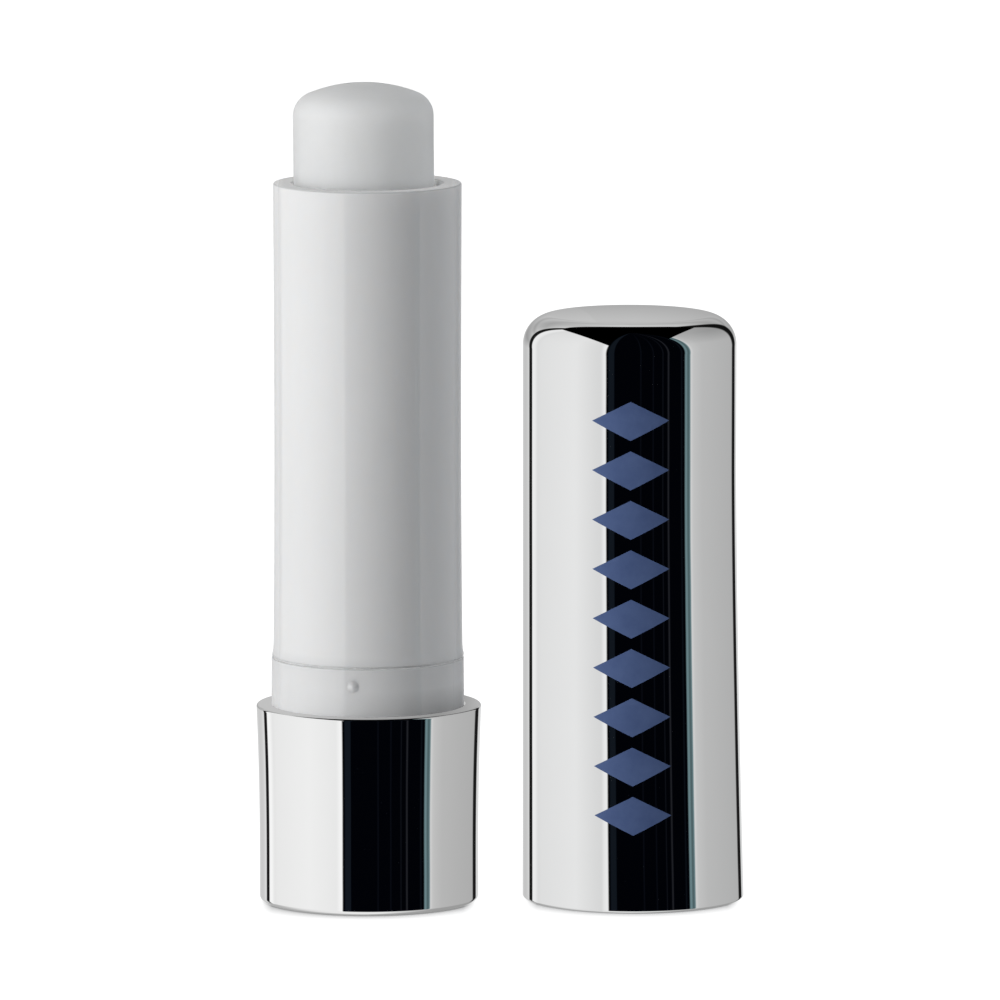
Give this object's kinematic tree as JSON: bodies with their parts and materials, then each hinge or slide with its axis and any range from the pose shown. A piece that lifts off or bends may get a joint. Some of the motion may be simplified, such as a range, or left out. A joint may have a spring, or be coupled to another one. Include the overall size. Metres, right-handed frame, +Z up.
{
  "type": "lip balm stick",
  "caption": "Twist-up lip balm stick standing open: turning base, screw, sliding carrier and balm, white barrel, and a mirror-bright cap beside it.",
  "frame": {"origin": "centre of the base's foot, on the stick's axis, in the plane it stands on", "axes": "+Z up along the stick's axis, +X from the stick to the side where its cap stands, -Y towards the front with the collar's first bump"},
  "size_m": [0.0424, 0.0209, 0.0716],
  "materials": {
    "mirror_shell": "vacuum-metallised plastic, polished to a mirror",
    "white_gloss": "white moulded plastic, glossy",
    "inner_plastic": "natural moulded plastic, matte",
    "balm_wax": "white balm, waxy and slightly translucent"
  },
  "bodies": {
    "base": {"base_shell": "mirror_shell", "twist_core": "white_gloss", "drive_screw": "inner_plastic"},
    "barrel": {"barrel": "white_gloss"},
    "carriage": {"carrier": "inner_plastic", "balm": "balm_wax"},
    "cap": {"cap": "mirror_shell"}
  },
  "joints": [
    {"name": "barrel_twist", "type": "hinge", "parent": "base", "child": "barrel", "pos_m": [0, 0, 0.0215], "axis": [0, 0, -1], "range_deg": [-720, 2376]},
    {"name": "balm_lift", "type": "slide", "parent": "barrel", "child": "carriage", "axis": [0, 0, 1], "range_m": [-0.01, 0.033]},
    {"name": "cap_lift", "type": "slide", "parent": "base", "child": "cap", "axis": [0, 0, 1], "range_m": [0, 0.08]}
  ],
  "couplings": [
    {"joint": "balm_lift", "follows": "barrel_twist", "m_per_rad": 0.00079577}
  ]
}
